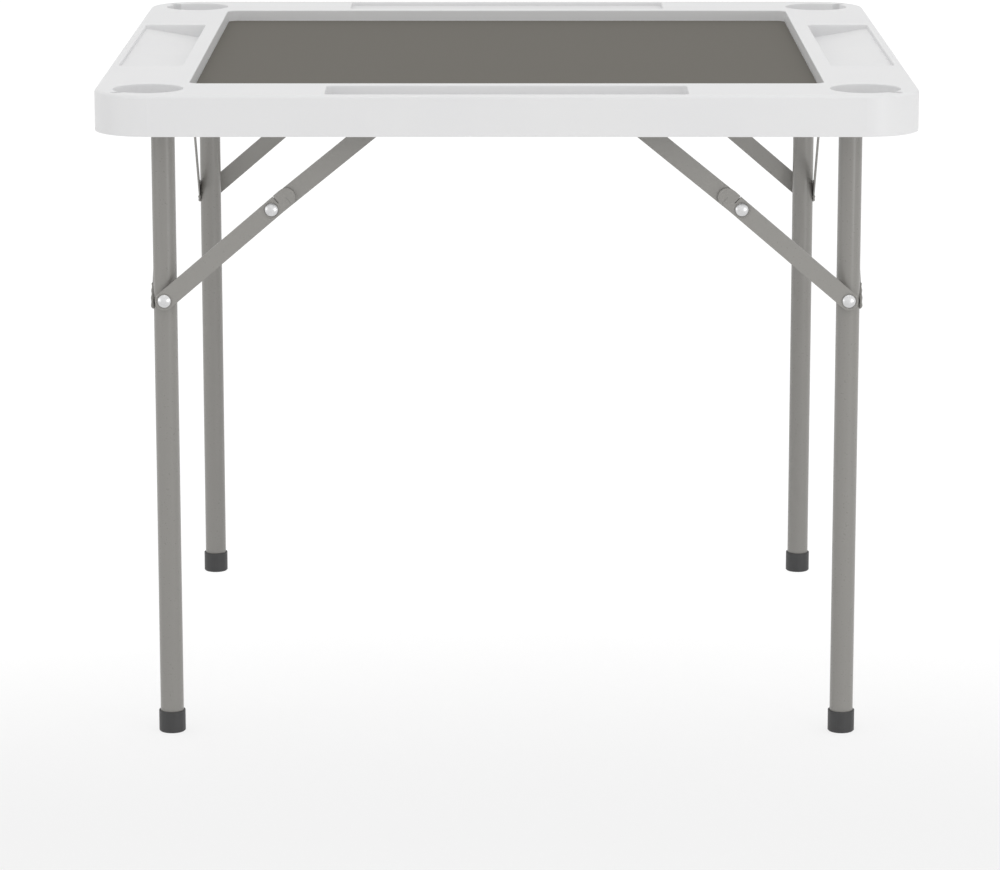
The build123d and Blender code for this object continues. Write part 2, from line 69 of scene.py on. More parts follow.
def add_node(tree, kind, inputs, **settings):
    """Adds a node with its settings. An input is a value, or the output that it is linked from."""
    node = tree.nodes.new(kind)
    for name, value in settings.items():
        setattr(node, name, value)
    for name, value in inputs.items():
        if isinstance(value, bpy.types.NodeSocket):
            tree.links.new(value, node.inputs[name])
        else:
            node.inputs[name].default_value = value
    return node


def new_material(name):
    """An empty material: the material, its tree, and the object's own coordinates in metres."""
    material = bpy.data.materials.new(name)
    material.use_nodes = True
    tree = material.node_tree
    tree.nodes.clear()
    return material, tree, add_node(tree, "ShaderNodeTexCoord", {}).outputs["Object"]


def dress(material, nodes):
    """Gives CAD nodes a material in place of their plain one."""
    for name in nodes:
        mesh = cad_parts[name].data
        mesh.materials.clear()
        mesh.materials.append(material)


def moulded_polyethylene():
    """Polyethylene from a grained mould: a soft waxy sheen on fine grain, with faint sink marks."""
    material, tree, place = new_material("moulded_polyethylene")
    grain = add_node(
        tree,
        "ShaderNodeTexNoise",
        {"Vector": place, "Scale": 1 / TOP_GRAIN_SIZE, "Detail": TOP_GRAIN_DETAIL},
    ).outputs["Fac"]
    sink = add_node(
        tree,
        "ShaderNodeTexNoise",
        {"Vector": place, "Scale": 1 / TOP_SINK_SIZE, "Detail": TOP_SINK_DETAIL},
    ).outputs["Fac"]
    tint = add_node(
        tree,
        "ShaderNodeMix",
        {"Factor": sink, "A": linear(TOP_WHITE), "B": linear(TOP_SHADE)},
        data_type="RGBA",
    )
    sheen = add_node(
        tree,
        "ShaderNodeMapRange",
        {"Value": grain, "To Min": TOP_ROUGHNESS[0], "To Max": TOP_ROUGHNESS[1]},
    )
    waves = add_node(tree, "ShaderNodeBump", {"Height": sink, "Distance": TOP_SINK_HEIGHT})
    bumps = add_node(
        tree,
        "ShaderNodeBump",
        {"Height": grain, "Distance": TOP_GRAIN_HEIGHT, "Normal": waves.outputs["Normal"]},
    )
    surface = add_node(
        tree,
        "ShaderNodeBsdfPrincipled",
        {
            "Base Color": tint.outputs["Result"],
            "Roughness": sheen.outputs["Result"],
            "Normal": bumps.outputs["Normal"],
            "IOR": TOP_IOR,
        },
    )
    add_node(tree, "ShaderNodeOutputMaterial", {"Surface": surface.outputs["BSDF"]})
    return material


dress(moulded_polyethylene(), ["tabletop_moulding"])

# The play mat
# A thin sheet of dark grey vinyl that lies loose in the recess. It was rolled with a pebble grain,
# and the rolling left faint streaks along the front of the table.
MAT_GREY = "#6B6861"
MAT_DARK = "#64615A"
MAT_ROUGHNESS = (0.72, 0.84)
MAT_IOR = 1.53
MAT_SPECULAR = 0.2
MAT_STREAK_WIDTH = 14 * MILLIMETRE
MAT_STREAK_LENGTH = 260 * MILLIMETRE
MAT_STREAK_DETAIL = 3.0
# The pebbles of such a sheet are finer, and are drawn here as coarse as they need to show.
MAT_PEBBLE_SIZE = 1.8 * MILLIMETRE
MAT_PEBBLE_HEIGHT = 0.06 * MILLIMETRE
MAT_PEBBLE_SMOOTHNESS = 0.6


def calendered_vinyl():
    """Embossed vinyl sheet: matt, warm grey, with a pebble grain and faint long streaks."""
    material, tree, place = new_material("calendered_vinyl")
    pebbles = add_node(
        tree,
        "ShaderNodeTexVoronoi",
        {"Vector": place, "Scale": 1 / MAT_PEBBLE_SIZE, "Smoothness": MAT_PEBBLE_SMOOTHNESS},
        feature="SMOOTH_F1",
    ).outputs["Distance"]
    stretched = add_node(
        tree,
        "ShaderNodeMapping",
        {"Vector": place, "Scale": (1 / MAT_STREAK_LENGTH, 1 / MAT_STREAK_WIDTH, 1.0)},
    )
    streaks = add_node(
        tree,
        "ShaderNodeTexNoise",
        {"Vector": stretched.outputs["Vector"], "Scale": 1.0, "Detail": MAT_STREAK_DETAIL},
    ).outputs["Fac"]
    tint = add_node(
        tree,
        "ShaderNodeMix",
        {"Factor": streaks, "A": linear(MAT_DARK), "B": linear(MAT_GREY)},
        data_type="RGBA",
    )
    sheen = add_node(
        tree,
        "ShaderNodeMapRange",
        {"Value": streaks, "To Min": MAT_ROUGHNESS[0], "To Max": MAT_ROUGHNESS[1]},
    )
    bumps = add_node(
        tree, "ShaderNodeBump", {"Height": pebbles, "Distance": MAT_PEBBLE_HEIGHT}, invert=True
    )
    surface = add_node(
        tree,
        "ShaderNodeBsdfPrincipled",
        {
            "Base Color": tint.outputs["Result"],
            "Roughness": sheen.outputs["Result"],
            "Normal": bumps.outputs["Normal"],
            "IOR": MAT_IOR,
            "Specular IOR Level": MAT_SPECULAR,
        },
    )
    add_node(tree, "ShaderNodeOutputMaterial", {"Surface": surface.outputs["BSDF"]})
    return material


dress(calendered_vinyl(), ["play_mat"])

# The rails under the front and rear trays
# Pressed angles of hot dip galvanised sheet steel, screwed up to bosses in the moulding. They carry
# the upper ends of the braces.
ZINC_LIGHT = "#B9BCBD"
ZINC_DARK = "#A3A7A9"
ZINC_ROUGHNESS = (0.36, 0.52)
SPANGLE_SIZE = 9 * MILLIMETRE
SPANGLE_RELIEF = 0.01 * MILLIMETRE


def galvanised_sheet():
    """Galvanised steel: a dull zinc coat with crystals nearly a centimetre across."""
    material, tree, place = new_material("galvanised_sheet")
    crystals = add_node(
        tree, "ShaderNodeTexVoronoi", {"Vector": place, "Scale": 1 / SPANGLE_SIZE}
    ).outputs["Color"]
    shade = add_node(tree, "ShaderNodeSeparateColor", {"Color": crystals}).outputs["Red"]
    tint = add_node(
        tree,
        "ShaderNodeMix",
        {"Factor": shade, "A": linear(ZINC_DARK), "B": linear(ZINC_LIGHT)},
        data_type="RGBA",
    )
    sheen = add_node(
        tree,
        "ShaderNodeMapRange",
        {"Value": shade, "To Min": ZINC_ROUGHNESS[0], "To Max": ZINC_ROUGHNESS[1]},
    )
    bumps = add_node(tree, "ShaderNodeBump", {"Height": shade, "Distance": SPANGLE_RELIEF})
    surface = add_node(
        tree,
        "ShaderNodeBsdfPrincipled",
        {
            "Base Color": tint.outputs["Result"],
            "Roughness": sheen.outputs["Result"],
            "Normal": bumps.outputs["Normal"],
            "Metallic": 1.0,
        },
    )
    add_node(tree, "ShaderNodeOutputMaterial", {"Surface": surface.outputs["BSDF"]})
    return material


dress(galvanised_sheet(), ["front_rail", "rear_rail"])

# The screws of the rails
# Thread forming screws with pan heads and cross recesses, in bright zinc plate. They are driven
# upwards, so their heads show from below.
SCREW_HEAD_SIDES = 32
SCREW_HEAD_RIM_SHARE = 0.45
SCREW_CROWN_SHARE = 0.62
SCREW_PITCH = 1.4 * MILLIMETRE
SCREW_THREAD_DEPTH = 0.3 * MILLIMETRE
RECESS_ARM = 1.8 * MILLIMETRE
RECESS_HALF_WIDTH = 0.42 * MILLIMETRE
RECESS_DEPTH = 1.3 * MILLIMETRE
RECESS_TAPER_SHARE = 0.55
PLATE_LIGHT = "#E6E6E6"
PLATE_DARK = "#CDCDCE"
PLATE_ROUGHNESS = (0.22, 0.44)
PLATE_HAZE_SIZE = 2.5 * MILLIMETRE
PLATE_HAZE_RELIEF = 0.01 * MILLIMETRE
PLATE_HAZE_DETAIL = 3.0
MERGE_DISTANCE = 0.001 * MILLIMETRE
SHARP_EDGE_ANGLE = 40


def bright_zinc_plate():
    """Bright zinc on cold formed steel: a clean mirror, hazed in patches where it was handled."""
    material, tree, place = new_material("bright_zinc_plate")
    haze = add_node(
        tree,
        "ShaderNodeTexNoise",
        {"Vector": place, "Scale": 1 / PLATE_HAZE_SIZE, "Detail": PLATE_HAZE_DETAIL},
    ).outputs["Fac"]
    tint = add_node(
        tree,
        "ShaderNodeMix",
        {"Factor": haze, "A": linear(PLATE_LIGHT), "B": linear(PLATE_DARK)},
        data_type="RGBA",
    )
    sheen = add_node(
        tree,
        "ShaderNodeMapRange",
        {"Value": haze, "To Min": PLATE_ROUGHNESS[0], "To Max": PLATE_ROUGHNESS[1]},
    )
    bumps = add_node(tree, "ShaderNodeBump", {"Height": haze, "Distance": PLATE_HAZE_RELIEF})
    surface = add_node(
        tree,
        "ShaderNodeBsdfPrincipled",
        {
            "Base Color": tint.outputs["Result"],
            "Roughness": sheen.outputs["Result"],
            "Normal": bumps.outputs["Normal"],
            "Metallic": 1.0,
        },
    )
    add_node(tree, "ShaderNodeOutputMaterial", {"Surface": surface.outputs["BSDF"]})
    return material


def revolve(shape, centre, axis, profile, sides):
    """Adds a turned form. The profile is pairs of radius and height along the axis."""
    axis = Vector(axis)
    across = axis.orthogonal().normalized()
    around = axis.cross(across)
    rings = []
    for radius, height in profile:
        middle = Vector(centre) + axis * height
        turns = [tau * step / sides for step in range(sides if radius > 0 else 1)]
        points = [middle + (across * cos(turn) + around * sin(turn)) * radius for turn in turns]
        rings.append([shape.verts.new(point) for point in points])
    for low, high in zip(rings, rings[1:]):
        for step in range(sides):
            beside = step + 1
            corners = (
                low[step % len(low)],
                low[beside % len(low)],
                high[beside % len(high)],
                high[step % len(high)],
            )
            # Where a ring is one point, that corner is taken once and the face is a triangle.
            shape.faces.new(dict.fromkeys(corners))
    return rings


def add_piece(shape, name, material, body):
    """Turns a finished shape into a piece that rides on a body. It is smooth, apart from edges
    that turn by more degrees than SHARP_EDGE_ANGLE."""
    bmesh.ops.remove_doubles(shape, verts=shape.verts, dist=MERGE_DISTANCE)
    bmesh.ops.recalc_face_normals(shape, faces=shape.faces)
    mesh = bpy.data.meshes.new(name)
    shape.to_mesh(mesh)
    shape.free()
    mesh.shade_smooth()
    mesh.set_sharp_from_angle(angle=radians(SHARP_EDGE_ANGLE))
    mesh.materials.append(material)
    piece = bpy.data.objects.new(name, mesh)
    bpy.context.scene.collection.objects.link(piece)
    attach(piece, body)
    return piece


def solid_groups(node):
    """The corners of each separate solid in a CAD node, as lists of points."""
    shape = bmesh.new()
    shape.from_mesh(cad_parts[node].data)
    bmesh.ops.remove_doubles(shape, verts=shape.verts, dist=MERGE_DISTANCE)
    waiting = set(shape.verts)
    groups = []
    while waiting:
        reached = {waiting.pop()}
        newest = set(reached)
        while newest:
            links = {link for corner in newest for link in corner.link_edges}
            newest = {other for link in links for other in link.verts} - reached
            reached |= newest
        waiting -= reached
        groups.append([corner.co.copy() for corner in reached])
    shape.free()
    return groups


def screw(shape, corners):
    """Adds a cross recessed pan head screw where a plain CAD screw stands."""
    low = Vector([min(corner[i] for corner in corners) for i in range(3)])
    high = Vector([max(corner[i] for corner in corners) for i in range(3)])
    head_radius = (high.x - low.x) / 2
    middle = Vector(((low.x + high.x) / 2, (low.y + high.y) / 2, low.z))
    top = [corner for corner in corners if high.z - corner.z < SCREW_THREAD_DEPTH]
    shank_radius = max((corner - middle).xy.length for corner in top)
    shank = [
        corner
        for corner in corners
        if abs((corner - middle).xy.length - shank_radius) < SCREW_THREAD_DEPTH
    ]
    under_head = min(corner.z for corner in shank) - low.z
    crown_radius = head_radius * SCREW_CROWN_SHARE
    # Out over the crown, its rounded shoulder and the rim of the head, and in to the shank.
    profile = [
        (crown_radius, 0.0),
        (head_radius * (1 + SCREW_CROWN_SHARE) / 2, under_head * (1 - SCREW_HEAD_RIM_SHARE) / 4),
        (head_radius, under_head * (1 - SCREW_HEAD_RIM_SHARE)),
        (head_radius, under_head),
        (shank_radius, under_head),
    ]
    height = under_head
    while height + SCREW_PITCH < high.z - low.z:
        profile.append((shank_radius - SCREW_THREAD_DEPTH, height + SCREW_PITCH / 2))
        profile.append((shank_radius, height + SCREW_PITCH))
        height += SCREW_PITCH
    profile.append((0.0, high.z - low.z))
    crown = revolve(shape, middle, (0, 0, 1), profile, SCREW_HEAD_SIDES)[0]
    outline = []
    for quarter in range(4):
        turn = tau * quarter / 4
        ahead, beside = Vector((cos(turn), sin(turn), 0)), Vector((-sin(turn), cos(turn), 0))
        outline += [
            ahead * RECESS_ARM - beside * RECESS_HALF_WIDTH,
            ahead * RECESS_ARM + beside * RECESS_HALF_WIDTH,
            ahead * RECESS_HALF_WIDTH + beside * RECESS_HALF_WIDTH,
        ]
    recess_floor = middle + Vector((0, 0, RECESS_DEPTH))
    mouth = [shape.verts.new(middle + point) for point in outline]
    floor = [shape.verts.new(recess_floor + point * RECESS_TAPER_SHARE) for point in outline]
    rims = []
    for ring in (crown, mouth):
        for step, corner in enumerate(ring):
            pair = (corner, ring[step - 1])
            rims.append(shape.edges.get(pair) or shape.edges.new(pair))
    bmesh.ops.triangle_fill(shape, edges=rims, use_beauty=True)
    for step in range(len(mouth)):
        shape.faces.new((mouth[step - 1], mouth[step], floor[step], floor[step - 1]))
    shape.faces.new(floor)


def screw_set(node, name, material):
    """One piece that holds every screw of a CAD group and stands for it."""
    shape = bmesh.new()
    for corners in solid_groups(node):
        screw(shape, corners)
    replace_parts(add_piece(shape, name, material, "tabletop"), node)


zinc_plate = bright_zinc_plate()
screw_set("rail_screws", "cross_recess_rail_screws", zinc_plate)

# The pivot brackets, their pins and their screws
# Each bracket is bent from sheet steel, zinc plated, and screwed up to a pad under the deck. A
# headed pin through its cheeks is the hinge of a leg frame.
ENDS = ("front", "rear")
SIDES = ("left", "right")
CORNERS = [side + "_" + end for side in SIDES for end in ENDS]
BRACKET_LIGHT = "#C3C4C6"
BRACKET_DARK = "#AEAFB2"
BRACKET_ROUGHNESS = (0.3, 0.42)
# The rolling grain of such a sheet is finer, and is drawn here as coarse as it needs to show.
BRACKET_GRAIN_WIDTH = 0.5 * MILLIMETRE
BRACKET_GRAIN_LENGTH = 30 * MILLIMETRE
BRACKET_GRAIN_RELIEF = 0.01 * MILLIMETRE
BRACKET_GRAIN_DETAIL = 2.0


def plated_sheet():
    """Zinc plated cold rolled sheet: satin metal, with the rolling grain still showing along it."""
    material, tree, place = new_material("plated_sheet")
    stretched = add_node(
        tree,
        "ShaderNodeMapping",
        {
            "Vector": place,
            "Scale": (1 / BRACKET_GRAIN_LENGTH, 1 / BRACKET_GRAIN_WIDTH, 1 / BRACKET_GRAIN_WIDTH),
        },
    )
    grain = add_node(
        tree,
        "ShaderNodeTexNoise",
        {"Vector": stretched.outputs["Vector"], "Scale": 1.0, "Detail": BRACKET_GRAIN_DETAIL},
    ).outputs["Fac"]
    tint = add_node(
        tree,
        "ShaderNodeMix",
        {"Factor": grain, "A": linear(BRACKET_DARK), "B": linear(BRACKET_LIGHT)},
        data_type="RGBA",
    )
    sheen = add_node(
        tree,
        "ShaderNodeMapRange",
        {"Value": grain, "To Min": BRACKET_ROUGHNESS[0], "To Max": BRACKET_ROUGHNESS[1]},
    )
    bumps = add_node(tree, "ShaderNodeBump", {"Height": grain, "Distance": BRACKET_GRAIN_RELIEF})
    surface = add_node(
        tree,
        "ShaderNodeBsdfPrincipled",
        {
            "Base Color": tint.outputs["Result"],
            "Roughness": sheen.outputs["Result"],
            "Normal": bumps.outputs["Normal"],
            "Metallic": 1.0,
        },
    )
    add_node(tree, "ShaderNodeOutputMaterial", {"Surface": surface.outputs["BSDF"]})
    return material


dress(plated_sheet(), [corner + "_pivot_bracket" for corner in CORNERS])
dress(zinc_plate, ["hinge_pins"])
screw_set("bracket_screws", "cross_recess_bracket_screws", zinc_plate)

# The leg frames
# Two legs, a cross tube, two struts and two hinge ears of mild steel, welded into one frame and
# powder coated grey all over. The tubes are round and 25.4 mm across.
COAT_GREY = "#93918D"
COAT_SHADE = "#8C8A86"
# The flat strip parts take the same grey coat as the tubes, painted a little lighter as painted
# light on their flat faces.
STRIP_GREY_PAINTED_LIGHTER = "#999793"
STRIP_FLECK_PAINTED_LIGHTER = "#93918D"
COAT_ROUGHNESS = (0.25, 0.33)
COAT_IOR = 1.5
COAT_PEEL_SIZE = 2.2 * MILLIMETRE
COAT_PEEL_HEIGHT = 0.02 * MILLIMETRE
COAT_PEEL_DETAIL = 1.0
# The fleck of such a coat is finer, and is drawn here as coarse as it needs to show.
COAT_FLECK_SIZE = 0.6 * MILLIMETRE
COAT_FLECK_DETAIL = 1.0


def powder_coat(name, light, dark):
    """Grey powder coat on steel: half gloss, with orange peel and a fine two tone fleck."""
    material, tree, place = new_material(name)
    peel = add_node(
        tree,
        "ShaderNodeTexNoise",
        {"Vector": place, "Scale": 1 / COAT_PEEL_SIZE, "Detail": COAT_PEEL_DETAIL},
    ).outputs["Fac"]
    fleck = add_node(
        tree,
        "ShaderNodeTexNoise",
        {"Vector": place, "Scale": 1 / COAT_FLECK_SIZE, "Detail": COAT_FLECK_DETAIL},
    ).outputs["Fac"]
    tint = add_node(
        tree,
        "ShaderNodeMix",
        {"Factor": fleck, "A": linear(dark), "B": linear(light)},
        data_type="RGBA",
    )
    sheen = add_node(
        tree,
        "ShaderNodeMapRange",
        {"Value": peel, "To Min": COAT_ROUGHNESS[0], "To Max": COAT_ROUGHNESS[1]},
    )
    bumps = add_node(tree, "ShaderNodeBump", {"Height": peel, "Distance": COAT_PEEL_HEIGHT})
    surface = add_node(
        tree,
        "ShaderNodeBsdfPrincipled",
        {
            "Base Color": tint.outputs["Result"],
            "Roughness": sheen.outputs["Result"],
            "Normal": bumps.outputs["Normal"],
            "IOR": COAT_IOR,
        },
    )
    add_node(tree, "ShaderNodeOutputMaterial", {"Surface": surface.outputs["BSDF"]})
    return material


tube_coat = powder_coat("powder_coat_tube", COAT_GREY, COAT_SHADE)
strip_coat_painted_lighter = powder_coat("powder_coat_strip_painted_lighter", STRIP_GREY_PAINTED_LIGHTER, STRIP_FLECK_PAINTED_LIGHTER)
dress(tube_coat, [corner + "_leg" for corner in CORNERS])
dress(tube_coat, [side + "_cross_tube" for side in SIDES])
# The ears and struts have the tubes' coat, painted a little lighter as painted light.
dress(strip_coat_painted_lighter, [corner + "_hinge_ear" for corner in CORNERS])
dress(strip_coat_painted_lighter, [corner + "_strut" for corner in CORNERS])

# The weld beads of the leg frames
# Beads of wire weld run round both ends of each cross tube, round each ear, and round both ends of
# each strut. They were coated with the frame, so only their ripples set them apart.
BEAD_RADIUS = 1.5 * MILLIMETRE
BEAD_RIPPLE_LENGTH = 2.4 * MILLIMETRE
STRUT_BEAD_RADIUS = 1.7 * MILLIMETRE
STRUT_BEAD_RIPPLE_LENGTH = 9.0 * MILLIMETRE
BEAD_RIPPLE_SHARE = 0.16
BEAD_STEP = 0.5 * MILLIMETRE
BEAD_SIDES = 10
STRUT_HALF_WIDTH = 6.35 * MILLIMETRE
STRUT_BEAD_SHORT_RUN = 6 * MILLIMETRE
STRUT_BEAD_LONG_RUN = 20 * MILLIMETRE


def weld_bead(shape, path, length, bead_radius, ripple_length):
    """Adds a bead along path(share), whose share runs from 0 to 1. It swells at each ripple and
    tapers to a point at the ends of an open path."""
    steps = round(length / BEAD_STEP)
    points = [path(step / steps) for step in range(steps + 1)]
    open_ended = (points[-1] - points[0]).length > BEAD_STEP
    outward = (points[1] - points[0]).orthogonal()
    rings = []
    for step, point in enumerate(points):
        ahead = (points[min(step + 1, steps)] - points[max(step - 1, 0)]).normalized()
        outward = (outward - ahead * outward.dot(ahead)).normalized()
        beside = ahead.cross(outward)
        radius = bead_radius * (1 + BEAD_RIPPLE_SHARE * cos(tau * step * BEAD_STEP / ripple_length))
        to_end = min(step, steps - step) * BEAD_STEP / bead_radius
        if open_ended and to_end < 1:
            radius *= sqrt(1 - (1 - to_end) ** 2)
        ring = []
        for turn in [tau * side / BEAD_SIDES for side in range(BEAD_SIDES)]:
            reach = (outward * cos(turn) + beside * sin(turn)) * radius
            ring.append(shape.verts.new(point + reach))
        rings.append(ring)
    for low, high in zip(rings, rings[1:]):
        for side in range(BEAD_SIDES):
            shape.faces.new((low[side - 1], low[side], high[side], high[side - 1]))


for side in SIDES:
    tube_low, tube_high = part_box(side + "_cross_tube")
    tube_middle = (tube_low + tube_high) / 2
    tube_radius = (tube_high.x - tube_low.x) / 2
    beads = bmesh.new()
    for end in ENDS:
        leg_low, leg_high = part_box(side + "_" + end + "_leg")
        leg_middle = (leg_low + leg_high) / 2
        leg_radius = (leg_high.x - leg_low.x) / 2
        inwards = 1 if end == "front" else -1
        tube_end = tube_low.y if end == "front" else tube_high.y
        tube_setback = abs(tube_end - leg_middle.y)

        def saddle(share):
            """The line where the cross tube meets the leg."""
            across = tube_radius * cos(tau * share)
            up = tube_radius * sin(tau * share)
            reach = max(sqrt(max(leg_radius**2 - across**2, 0)), tube_setback)
            return Vector(
                (tube_middle.x + across, leg_middle.y + inwards * reach, tube_middle.z + up)
            )

        weld_bead(beads, saddle, tau * tube_radius, BEAD_RADIUS, BEAD_RIPPLE_LENGTH)

        ear_low, ear_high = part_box(side + "_" + end + "_hinge_ear")
        for ear_face in (ear_low.y, ear_high.y):

            def ear_ring(share):
                """The circle where one face of the ear meets the cross tube."""
                turn = tau * share
                return Vector(
                    (
                        tube_middle.x + tube_radius * cos(turn),
                        ear_face,
                        tube_middle.z + tube_radius * sin(turn),
                    )
                )

            weld_bead(beads, ear_ring, tau * tube_radius, BEAD_RADIUS, BEAD_RIPPLE_LENGTH)

        strut_low, strut_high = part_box(side + "_" + end + "_strut")
        bead_x = (strut_low.x + strut_high.x) / 2
        top_y = (strut_high.y if end == "front" else strut_low.y) - inwards * STRUT_HALF_WIDTH
        foot = Vector((bead_x, leg_middle.y, strut_low.z + STRUT_HALF_WIDTH))
        top = Vector((bead_x, top_y, strut_high.z - STRUT_HALF_WIDTH))
        round_run = tau / 2 * STRUT_HALF_WIDTH
        length = STRUT_BEAD_SHORT_RUN + round_run + STRUT_BEAD_LONG_RUN
        for start, goal in ((foot, top), (top, foot)):
            along = (goal - start).normalized()
            over = Vector((0, -along.z, along.y)) * inwards

            def strut_outline(share):
                """Up one edge of the strut, round its end and back up the other edge."""
                run = share * length - STRUT_BEAD_SHORT_RUN
                if run < 0:
                    return start - along * run - over * STRUT_HALF_WIDTH
                if run < round_run:
                    turn = run / STRUT_HALF_WIDTH
                    return start - (along * sin(turn) + over * cos(turn)) * STRUT_HALF_WIDTH
                return start + along * (run - round_run) + over * STRUT_HALF_WIDTH

            weld_bead(beads, strut_outline, length, STRUT_BEAD_RADIUS, STRUT_BEAD_RIPPLE_LENGTH)
    add_piece(beads, side + "_frame_weld_beads", tube_coat, side + "_leg_frame")

# The foot caps
# A dip moulded cap of soft, nearly black vinyl is pushed on the end of each leg. The leg stands
# inside it on the cap's floor.
CAP_BLACK = "#313131"
CAP_SCUFF = "#3B3B3C"
CAP_ROUGHNESS = (0.42, 0.56)
CAP_IOR = 1.53
CAP_DRAG_WIDTH = 1.5 * MILLIMETRE
CAP_DRAG_LENGTH = 40 * MILLIMETRE
CAP_DRAG_RELIEF = 0.03 * MILLIMETRE
CAP_DRAG_DETAIL = 2.0


def dipped_vinyl():
    """Dipped vinyl: dark grey, half matt, with upright drag lines where it left its form."""
    material, tree, place = new_material("dipped_vinyl")
    stretched = add_node(
        tree,
        "ShaderNodeMapping",
        {"Vector": place, "Scale": (1 / CAP_DRAG_WIDTH, 1 / CAP_DRAG_WIDTH, 1 / CAP_DRAG_LENGTH)},
    )
    drag = add_node(
        tree,
        "ShaderNodeTexNoise",
        {"Vector": stretched.outputs["Vector"], "Scale": 1.0, "Detail": CAP_DRAG_DETAIL},
    ).outputs["Fac"]
    tint = add_node(
        tree,
        "ShaderNodeMix",
        {"Factor": drag, "A": linear(CAP_BLACK), "B": linear(CAP_SCUFF)},
        data_type="RGBA",
    )
    sheen = add_node(
        tree,
        "ShaderNodeMapRange",
        {"Value": drag, "To Min": CAP_ROUGHNESS[0], "To Max": CAP_ROUGHNESS[1]},
    )
    bumps = add_node(tree, "ShaderNodeBump", {"Height": drag, "Distance": CAP_DRAG_RELIEF})
    surface = add_node(
        tree,
        "ShaderNodeBsdfPrincipled",
        {
            "Base Color": tint.outputs["Result"],
            "Roughness": sheen.outputs["Result"],
            "Normal": bumps.outputs["Normal"],
            "IOR": CAP_IOR,
        },
    )
    add_node(tree, "ShaderNodeOutputMaterial", {"Surface": surface.outputs["BSDF"]})
    return material


dress(dipped_vinyl(), [corner + "_foot_cap" for corner in CORNERS])

# The folding braces and their rivets
# Each brace is a lower and an upper link of flat steel strip, coated like the frame. Bright domed
# rivets hold it to the leg, at the knee and to the rail.
for corner in CORNERS:
    # The links take the frame's coat, painted a little lighter than the tubes as painted light on
    # their flat faces.
    dress(strip_coat_painted_lighter, [corner + "_lower_link", corner + "_upper_link"])
    dress(zinc_plate, [corner + "_knee_rivet", corner + "_knee_rivet_tail"])
dress(zinc_plate, ["anchor_rivets", "left_leg_rivets", "right_leg_rivets"])

# The lips round the rivets of the lower links
# The press that pierced each lower link for its two rivets left a low rolled lip round each hole,
# and a faint curved ridge beside the knee. Both show through the coat.
LIP_GAP = 0.5 * MILLIMETRE
LIP_WIDTH = 0.7 * MILLIMETRE
LIP_HEIGHT = 0.8 * MILLIMETRE
LIP_SHOULDER_SHARE = 0.7
LIP_SIDES = 64
RIDGE_RADIUS = 9.5 * MILLIMETRE
RIDGE_HALF_ANGLE = 52
RIDGE_THICKNESS = 0.5 * MILLIMETRE
RIDGE_SINK = 0.3 * MILLIMETRE

for side in SIDES:
    leg_rivet_low, leg_rivet_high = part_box(side + "_leg_rivets")
    for end in ENDS:
        corner = side + "_" + end
        rivet_low, rivet_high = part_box(corner + "_knee_rivet")
        link_low, link_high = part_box(corner + "_lower_link")
        outwards = -1 if end == "front" else 1
        face = link_low.y if outwards < 0 else link_high.y
        rivet_radius = (rivet_high.x - rivet_low.x) / 2
        knee = (rivet_low + rivet_high) / 2
        foot = (leg_rivet_low + leg_rivet_high) / 2
        knee.y = foot.y = face
        inner = rivet_radius + LIP_GAP
        outer = inner + LIP_WIDTH
        crest = (inner + outer) / 2
        shoulder = LIP_HEIGHT * LIP_SHOULDER_SHARE
        profile = [(inner, 0.0), (inner, shoulder), (crest, LIP_HEIGHT), (outer, 0.0)]
        lips = bmesh.new()
        for centre in (knee, foot):
            revolve(lips, centre, (0, outwards, 0), profile + profile[:1], LIP_SIDES)
        downhill = (foot - knee).normalized()
        beside = Vector((downhill.z, 0, -downhill.x))

        def ridge(share):
            """An arc about the knee, on the side towards the leg."""
            turn = radians(RIDGE_HALF_ANGLE) * (2 * share - 1)
            reach = (downhill * cos(turn) + beside * sin(turn)) * RIDGE_RADIUS
            return knee + reach - Vector((0, outwards * RIDGE_SINK, 0))

        # A ripple of twice the arc's length leaves the ridge smooth.
        arc_length = 2 * radians(RIDGE_HALF_ANGLE) * RIDGE_RADIUS
        weld_bead(lips, ridge, arc_length, RIDGE_THICKNESS, 2 * arc_length)
        add_piece(lips, corner + "_rivet_lips", strip_coat_painted_lighter, corner + "_lower_brace")

# The photograph's view
# The camera stands in front of the middle of the table and a little above it, and looks down at it
# through a long lens. The pitch is in degrees and the lens in millimetres.
CAMERA_DISTANCE = 4984 * MILLIMETRE
CAMERA_HEIGHT = 1323 * MILLIMETRE
CAMERA_PITCH = 12.12
CAMERA_LENS = 156.98
CAMERA_SHIFT_SHARE = -0.0067

camera = bpy.data.objects.new("photograph_view", bpy.data.cameras.new("photograph_view"))
camera.data.lens = CAMERA_LENS
camera.data.shift_x = CAMERA_SHIFT_SHARE
camera.location = (0, -CAMERA_DISTANCE, CAMERA_HEIGHT)
camera.rotation_euler = (radians(90 - CAMERA_PITCH), 0, 0)
bpy.context.scene.collection.objects.link(camera)
bpy.context.scene.camera = camera

# The studio
# A wide pale floor that runs out to white, an even white surround, and three large soft lamps: one
# overhead, a weak one low on the left, and the key lamp low on the right of the camera.
FLOOR_HALF = 40.0
FLOOR_SEGMENTS = 8
FLOOR_NEAR = -0.8
FLOOR_FAR = 0.4
FLOOR_GLOW_NEAR = 0.72
FLOOR_GLOW_FAR = 0.9
FLOOR_SHADOW_TONE = "#7C7C7C"
FLOOR_WHITE = "#F4F4F4"
SURROUND_WHITE = "#FFFFFF"
SURROUND_STRENGTH = 0.8
SURROUND_SEEN_STRENGTH = 1.0
LAMP_AIM = (0, 0, 0.5)
LAMPS = {
    "overhead_softbox": {"place": (0.2, -0.4, 3.4), "size": 3.0, "power": 14},
    "low_left_softbox": {"place": (-3.7, -2.0, 0.8), "size": 1.4, "power": 8},
    "low_right_softbox": {"place": (2.9, -3.7, 0.6), "size": 0.9, "power": 27},
}

bpy.context.scene.view_settings.view_transform = "Standard"

